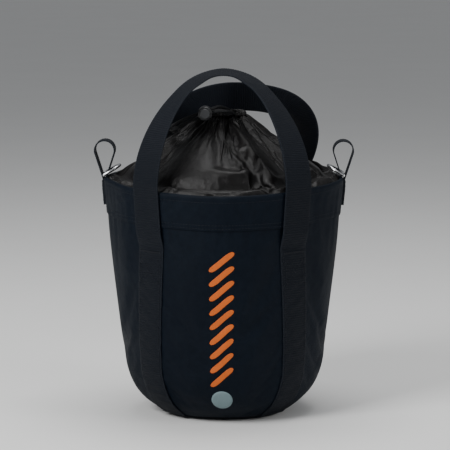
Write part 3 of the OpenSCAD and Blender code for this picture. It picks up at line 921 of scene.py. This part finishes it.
def collar_relief(a, t):
    """Puffed facets between the folds, the pocket under the neck, and fine gathers at the cord"""
    a = math.degrees(math.remainder(a, 2 * math.pi))
    lines = sorted((rim_a + (neck_a - rim_a) * t, depth, half) for rim_a, neck_a, depth, half in folds)
    left = max([line for line in lines if line[0] <= a], default=(lines[-1][0] - 360, *lines[-1][1:]))
    right = min([line for line in lines if line[0] > a], default=(lines[0][0] + 360, *lines[0][1:]))
    width = right[0] - left[0]
    share = (a - left[0]) / width
    rise = math.sin(math.pi * min(t * 1.08, 1)) ** 0.6
    puff = 0.0052 * min(width / 30, 1.5) * math.sin(math.pi * share) ** 0.7 * rise
    depth = sum(
        line[1] * math.exp(-(((a - line[0]) / (line[2] * (0.55 + 0.5 * t))) ** 2)) for line in (left, right)
    )
    off = puff - 0.0014 * depth * ease(t / 0.2) * (1 - 0.6 * ease((t - 0.8) / 0.2))
    roll = math.cos(math.radians(a) / 2) ** 2
    over_rim, behind_rim = math.exp(-(((t - 0.07) / 0.06) ** 2)), math.exp(-(((t - 0.19) / 0.05) ** 2))
    off += 0.005 * roll * (over_rim - 0.9 * behind_rim)
    beside = (a - pocket_a) / 12
    across = abs(beside) ** 3 + abs((t - pocket_t) / 0.2) ** 3
    hollow = math.exp(-across)
    ridge = math.exp(-(((a - pocket_a) / 19) ** 2) - ((t - pocket_t + 0.28) / 0.055) ** 2)
    off += -0.019 * hollow + 0.005 * ridge
    fine = ease((t - 0.45) / 0.5) * (1 - 0.6 * hollow)
    off += 0.0016 * fine * math.sin(pleats * math.radians(a) + 1.2 * math.sin(math.radians(3 * a)))
    return off


def collar_place(u, v):
    a = u * 2 * math.pi
    if v < tuck:
        return wall(a, wall_len - tuck + v, collar_in)
    t = (v - tuck) / collar_h
    foot_spot = wall(a, wall_len, collar_in)
    return foot_spot.lerp(dome_spot(a, t, collar_relief(a, t)), ease(t / 0.08))


shiny_nylon, nylon_shader = plain_stuff(
    "thin_black_nylon", (0.005, 0.0042, 0.004), 0.34, Specular_IOR_Level=0.2
)
mottle(
    shiny_nylon, nylon_shader, (0.0018, 0.0018, 0.0024), (0.006, 0.0052, 0.0048),
    speckle(shiny_nylon, 24, 3),
)
gloss(shiny_nylon, nylon_shader, speckle(shiny_nylon, 40, 4), 0.27, 0.42)
relief(
    shiny_nylon, nylon_shader,
    (speckle(shiny_nylon, 40, 4), 0.003, 0.7),
    (speckle(shiny_nylon, 160, 3), 0.0004, 0.5),
    (threads(shiny_nylon, 0.0007, 0.0007), 0.00005, 0.6),
)

collar_columns, collar_rows = 230, 52
collar = cut(1, tuck + collar_h, collar_columns, collar_rows)
keep_flat(collar, lambda spot: (spot.x * collar_girth, spot.y))
lay(collar, collar_place)
held = []
shape = as_piece("collar_start", collar)
for corner in shape.data.vertices:
    reach = corner.co.xy.length
    a = math.atan2(corner.co.x, -corner.co.y)
    at_rim = corner.co.z < rim_h + rim_lift(a) + 0.001 and reach > 0.14
    at_neck = reach < 0.033
    held.append(1.0 if at_rim or at_neck else 0.03)
start = shape.data.copy()

under = cut(1, 1, 96, 24)
lay(under, lambda u, v: dome_spot(u * 2 * math.pi, v, -0.016))
under = as_piece("rope_under_collar", under)
under.modifiers.new("stop", "COLLISION")
under.collision.thickness_outer = 0.002
under.collision.cloth_friction = 20
rested = settle(shape, held, 30, stiff=8, bending=0.12, grow=0.05, mass=0.05)
bpy.data.objects.remove(under)
for corner, point in zip(start.vertices, rested):
    moved = point - corner.co
    corner.co += moved * min(1, 0.011 / max(moved.length, 1e-9))

# ---- Drawcord -------------------------------------------------------------------------------
# A 4 mm braided cord runs round the neck in a sewn casing. Its two tails leave the casing at the
# front, pass through the cord lock one above the other, lie over the collar to the back and hang
# behind the bag to the knot that joins them.

cord_d = 0.004
lower_tail = [
    (0.0002, -0.025, 0.386), (0.0038, -0.0253, 0.3862), (0.0072, -0.0267, 0.3867),
    (0.0099, -0.0291, 0.3875), (0.0115, -0.0323, 0.3885), (0.0119, -0.0358, 0.3896),
    (0.011, -0.0393, 0.3906), (0.0089, -0.0423, 0.3915), (0.0058, -0.0446, 0.3923),
    (0.002, -0.0458, 0.3929), (-0.0025, -0.046, 0.3931), (-0.0068, -0.046, 0.3929),
    (-0.011, -0.046, 0.3918), (-0.016, -0.046, 0.39), (-0.028, -0.046, 0.3855), (-0.04, -0.046, 0.381),
    (-0.048, -0.0445, 0.3773), (-0.055, -0.0405, 0.373), (-0.061, -0.034, 0.3693), (-0.065, -0.025, 0.3676),
    (-0.0675, -0.014, 0.3674), (-0.0685, -0.001, 0.3674), (-0.068, 0.012, 0.367), (-0.066, 0.027, 0.3656),
    (-0.063, 0.042, 0.3629), (-0.0595, 0.058, 0.3578), (-0.056, 0.075, 0.3502), (-0.0525, 0.092, 0.3408),
    (-0.0495, 0.108, 0.33), (-0.0475, 0.122, 0.3192), (-0.0465, 0.133, 0.31), (-0.046, 0.14, 0.3052),
    (-0.046, 0.1457, 0.3013), (-0.046, 0.1495, 0.2955), (-0.046, 0.15, 0.288), (-0.046, 0.1485, 0.279),
    (-0.046, 0.1465, 0.267), (-0.046, 0.1455, 0.25), (-0.046, 0.145, 0.205), (-0.046, 0.145, 0.147),
]
upper_tail = [
    (0.01485, -0.0201, 0.386), (0.0125, -0.022, 0.3877), (0.0098, -0.0244, 0.3903),
    (0.0067, -0.0274, 0.3929), (0.0034, -0.0309, 0.395), (0, -0.0346, 0.3964), (-0.0034, -0.0384, 0.3975),
    (-0.0068, -0.042, 0.3979), (-0.0104, -0.0447, 0.3974), (-0.014, -0.046, 0.396),
    (-0.019, -0.046, 0.3942), (-0.028, -0.046, 0.3908), (-0.04, -0.046, 0.3863), (-0.0485, -0.045, 0.3828),
    (-0.0565, -0.0415, 0.3786), (-0.0635, -0.0355, 0.374), (-0.0688, -0.027, 0.37),
    (-0.072, -0.016, 0.3666), (-0.0735, -0.003, 0.3647), (-0.0733, 0.011, 0.3642), (-0.0715, 0.026, 0.3628),
    (-0.0685, 0.042, 0.3601), (-0.065, 0.058, 0.3551), (-0.0615, 0.075, 0.3478), (-0.058, 0.0915, 0.3389),
    (-0.055, 0.107, 0.3288), (-0.053, 0.121, 0.318), (-0.0517, 0.1315, 0.3097), (-0.051, 0.1382, 0.305),
    (-0.051, 0.144, 0.3013), (-0.051, 0.1479, 0.2955), (-0.051, 0.1485, 0.288), (-0.051, 0.147, 0.279),
    (-0.051, 0.145, 0.267), (-0.051, 0.1438, 0.25), (-0.051, 0.1435, 0.205), (-0.051, 0.1435, 0.147),
]


def smooth(points, steps):
    """The smooth curve through the points, with its end pulled on in the direction it starts in"""
    p = [Vector(point) for point in points]
    before = [3 * p[0] - 3 * p[1] + p[2], *p[:-2]]
    after = [*p[2:], p[-1]]
    line = []
    for a, b, c, d in zip(before, p[:-1], p[1:], after):
        for k in range(steps):
            t = k / steps
            line.append(
                0.5 * (2 * b + (c - a) * t + (2 * a - 5 * b + 4 * c - d) * t * t
                       + (3 * b - a - 3 * c + d) * t * t * t)
            )
    return [*line, p[-1]]


braid, braid_shader = plain_stuff("black_braid", (0.006, 0.0065, 0.008), 0.6, Specular_IOR_Level=0.25)
braid_flat = add(braid, "SeparateXYZ", {"Vector": add(braid, "UVMap", uv_map="flat").outputs["UV"]})
round_it = reckon(braid, "MULTIPLY", braid_flat.outputs[0], 8 / (cord_d / 2))
up_it = reckon(braid, "MULTIPLY", braid_flat.outputs[1], 2 * math.pi / 0.0032)
one_way = reckon(braid, "SINE", reckon(braid, "ADD", round_it, up_it))
other_way = reckon(braid, "SINE", reckon(braid, "SUBTRACT", round_it, up_it))
plaits = reckon(braid, "MULTIPLY", one_way, other_way)
# painted shade and highlight: the braid is coloured paler on the crowns of its strands and darker in the
# hollows between them, following the plait relief
mottle(
    braid, braid_shader, (0.0035, 0.004, 0.005), (0.018, 0.0185, 0.021), between(braid, plaits, 0.05, 0.55)
)
relief(braid, braid_shader, (plaits, 0.0004, 0.8), (speckle(braid, 2400), 0.0001, 0.5))


def tube(path, r, sides=14, step=0.0017, ends=None):
    """A round cord along a path; ends gives its thickness near the ends as a share"""
    spots = [Vector(p) for p in path]
    ways = [(b - a).normalized() for a, b in zip([spots[0], *spots], [*spots[1:], spots[-1]])]
    first = ways[0].orthogonal().normalized()
    firsts = []
    for way in ways:
        first = (first - first.dot(way) * way).normalized()
        firsts.append(first.copy())
    length = np.concatenate([[0], np.cumsum([(q - p).length for p, q in zip(spots, spots[1:])])])
    table = np.array([[*p, *w, *f] for p, w, f in zip(spots, ways, firsts)])
    bm = cut(2 * math.pi * r, length[-1], sides, max(int(length[-1] / step), 4))
    known = {}

    def place(u, v):
        if v not in known:
            row = [float(np.interp(v, length, table[:, k])) for k in range(9)]
            way = Vector(row[3:6]).normalized()
            side = Vector(row[6:9])
            side = (side - side.dot(way) * way).normalized()
            known[v] = Vector(row[:3]), side, way.cross(side)
        middle, side, up = known[v]
        share = float(ends(v, length[-1])) if ends else 1.0
        return middle + r * share * (math.cos(u / r) * side + math.sin(u / r) * up)

    lay(bm, place)
    bmesh.ops.remove_doubles(bm, verts=bm.verts, dist=2e-6)
    bmesh.ops.holes_fill(bm, edges=[e for e in bm.edges if e.is_boundary], sides=0)
    return bm


tail_lines = {"lower": smooth(lower_tail, 8), "upper": smooth(upper_tail, 8)}
ring_start = math.radians(36.87)
ring_line = [
    Vector((neck_r * math.sin(a), -neck_r * math.cos(a), neck_z))
    for a in np.linspace(ring_start, 2 * math.pi, 120).tolist()
]
sewn("drawcord_ring", tube(ring_line, cord_d / 2), braid, ["drawcord_in_tunnel"])

for name, line in tail_lines.items():
    sewn(
        f"drawcord_{name}_tail", tube(line, cord_d / 2), braid, [f"drawcord_tail_{name}"]
    )

# The knot: three tight wraps of cord round both tails, with the two cut ends below it.
knot_top = (Vector(lower_tail[-1]) + Vector(upper_tail[-1])) / 2
wraps = [
    knot_top + Vector((0.0043 * math.cos(t), 0.0043 * math.sin(t), -0.0022 - 0.0036 * t / (2 * math.pi)))
    for t in np.linspace(0, 3 * 2 * math.pi, 90).tolist()
]
knot = tube(wraps, 0.00195, step=0.001, ends=lambda v, full: 0.25 + 0.75 * ease(min(v, full - v) / 0.003))
for side in (-1, 1):
    end = [
        knot_top + Vector((side * (0.0022 + 0.0012 * t * t), 0.0004 * side, -0.011 - 0.0085 * t))
        for t in np.linspace(0, 1, 12).tolist()
    ]
    stub = tube(end, 0.0019, step=0.001, ends=lambda v, full: 0.45 + 0.55 * ease((full - v) / 0.002))
    put_in(knot, stub)
knot = sewn("drawcord_knot_wraps", knot, braid, ["drawcord_knot"])

# The cord presses the collar down where it lies on it.
cord_spots = np.array([
    [*spot] for line in tail_lines.values() for spot in line
    if spot.xy.length < 0.15 and spot.z > 0.295 and spot.x < -0.03
])
dome_shares = [k / 40 for k in range(41)]
dome_reaches = [-curve_at(dome, share).x for share in dome_shares]
for corner in start.vertices:
    apart = np.linalg.norm(cord_spots - np.array(corner.co), axis=1)
    near = int(apart.argmin())
    if apart[near] > 0.014:
        continue
    reach = corner.co.xy.length
    t = float(np.interp(-reach, dome_reaches, dome_shares))
    a = math.atan2(corner.co.x, -corner.co.y)
    outward = (dome_spot(a, t, 0.001) - dome_spot(a, t, 0)).normalized()
    lift = (corner.co - Vector(cord_spots[near])).dot(outward)
    beside = math.sqrt(max(apart[near] ** 2 - lift**2, 0))
    most = -(cord_d / 2 + 0.0007) + 28 * beside**2
    if lift > most:
        corner.co += outward * (most - lift)

collar_bm = bmesh.new()
collar_bm.from_mesh(start)
collar = sewn("gathered_collar", collar_bm, shiny_nylon, ["collar"])
rounder = collar.modifiers.new("soft", "SUBSURF")
rounder.levels = rounder.render_levels = 1
depth = collar.modifiers.new("thickness", "SOLIDIFY")
depth.thickness = collar_t
depth.offset = -1

# The casing is the collar's folded top edge, sewn round the cord and gathered with it.
casing_r = 0.0037


def casing_place(u, v):
    a, turned = v / neck_r, u / casing_r
    gap_end = min(a - ring_start, 2 * math.pi - a) * neck_r
    gather = math.sin(pleats * a + 1.2 * math.sin(3 * a))
    r = casing_r * (0.66 + 0.34 * ease(gap_end / 0.004)) + 0.00048 * gather * ease(gap_end / 0.003)
    outward = Vector((math.sin(a), -math.cos(a), 0))
    middle = neck_r * outward + Vector((0, 0, neck_z))
    return middle + r * (math.cos(turned) * outward - math.sin(turned) * Vector((0, 0, 1)))


casing = cut(2 * math.pi * casing_r, 1, 18, 420)
lay(casing, lambda u, v: casing_place(u, neck_r * (ring_start + v * (2 * math.pi - ring_start))))
bmesh.ops.remove_doubles(casing, verts=casing.verts, dist=2e-6)
bmesh.ops.recalc_face_normals(casing, faces=casing.faces)
sewn("drawcord_casing", casing, shiny_nylon, ["drawcord_tunnel"], 0.0004, -1.0)

# ---- Cord lock ------------------------------------------------------------------------------
# A moulded barrel with a sprung plunger that grips both tails. Both are black nylon with a fine
# moulded grain, and the spring behind the plunger is drawn steel wire.

barrel_plastic, barrel_shader = plain_stuff("barrel_plastic", (0.012, 0.0125, 0.0145), 0.42)
mottle(
    barrel_plastic, barrel_shader, (0.0055, 0.006, 0.007), (0.012, 0.0125, 0.014),
    speckle(barrel_plastic, 150),
)
gloss(barrel_plastic, barrel_shader, speckle(barrel_plastic, 500), 0.34, 0.5)
relief(barrel_plastic, barrel_shader, (speckle(barrel_plastic, 3200), 0.0001, 0.5))
plunger_plastic, plunger_shader = plain_stuff("plunger_plastic", (0.02, 0.021, 0.023), 0.4)
relief(plunger_plastic, plunger_shader, (speckle(plunger_plastic, 3200), 0.0001, 0.5))
gloss(plunger_plastic, plunger_shader, speckle(plunger_plastic, 400), 0.3, 0.48)
spring_wire, wire_shader = plain_stuff("spring_wire", (0.5, 0.5, 0.51), 0.3, Metallic=1.0)
relief(spring_wire, wire_shader, (speckle(spring_wire, 3000), 0.00005, 0.5))
lock_nodes = [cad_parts["cord_lock_" + part] for part in ("barrel", "plunger", "spring")]
for node, finish in zip(lock_nodes, (barrel_plastic, plunger_plastic, spring_wire)):
    node.material_slots[0].material = finish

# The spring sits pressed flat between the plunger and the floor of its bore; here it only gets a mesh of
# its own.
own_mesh(lock_nodes[2])

for name, exit_at, length in (("lower", lower_tail[0], 0.463), ("upper", upper_tail[0], 0.457)):
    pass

# ---- Studio ---------------------------------------------------------------------------------
# A wide, plain, pale floor, and soft light from large panels.

pale_paper, paper_shader = plain_stuff("pale_paper", (0.78, 0.78, 0.77), 0.8)
mottle(pale_paper, paper_shader, (0.76, 0.76, 0.75), (0.8, 0.8, 0.79), speckle(pale_paper, 3))
floor_w = 60
floor = cut(floor_w, floor_w, 30, 30)
lay(floor, lambda u, v: Vector((u - floor_w / 2, v - floor_w / 2, -0.0012)))
floor = as_piece("floor", floor)
floor.data.materials.append(pale_paper)


def panel(name, place, size, watts):
    """A soft light panel that faces the bag"""
    light = bpy.data.lights.new(name, "AREA")
    light.shape = "RECTANGLE"
    light.size, light.size_y = size
    light.energy = watts
    lamp = bpy.data.objects.new(name, light)
    bpy.context.scene.collection.objects.link(lamp)
    lamp.location = place
    lamp.rotation_euler = (Vector((0, 0, 0.25)) - Vector(place)).to_track_quat("-Z", "Y").to_euler()


panel("key_panel", (-1.25, -1.35, 1.45), (0.8, 1.1), 46)
panel("fill_panel", (1.8, -0.9, 0.9), (0.7, 1.3), 14)
panel("top_panel", (0.1, 0.3, 2.2), (1.4, 1.0), 26)
surroundings = bpy.data.worlds.new("studio")
surroundings.use_nodes = True
surroundings.node_tree.nodes["Background"].inputs["Color"].default_value = (0.9, 0.92, 0.95, 1)
surroundings.node_tree.nodes["Background"].inputs["Strength"].default_value = 0.3
bpy.context.scene.world = surroundings

lens, distance, tilt, turned = 180, 2.925, math.radians(8), math.radians(1.2)
eye = bpy.data.cameras.new("camera")
eye.lens = lens
eye.sensor_width = 36
camera = bpy.data.objects.new("camera", eye)
bpy.context.scene.collection.objects.link(camera)
aim = Vector((0.0013, 0, 0.2403))
camera.location = aim + distance * Vector(
    (math.cos(tilt) * math.sin(turned), -math.cos(tilt) * math.cos(turned), math.sin(tilt))
)
camera.rotation_euler = (aim - camera.location).to_track_quat("-Z", "Y").to_euler()
bpy.context.scene.camera = camera
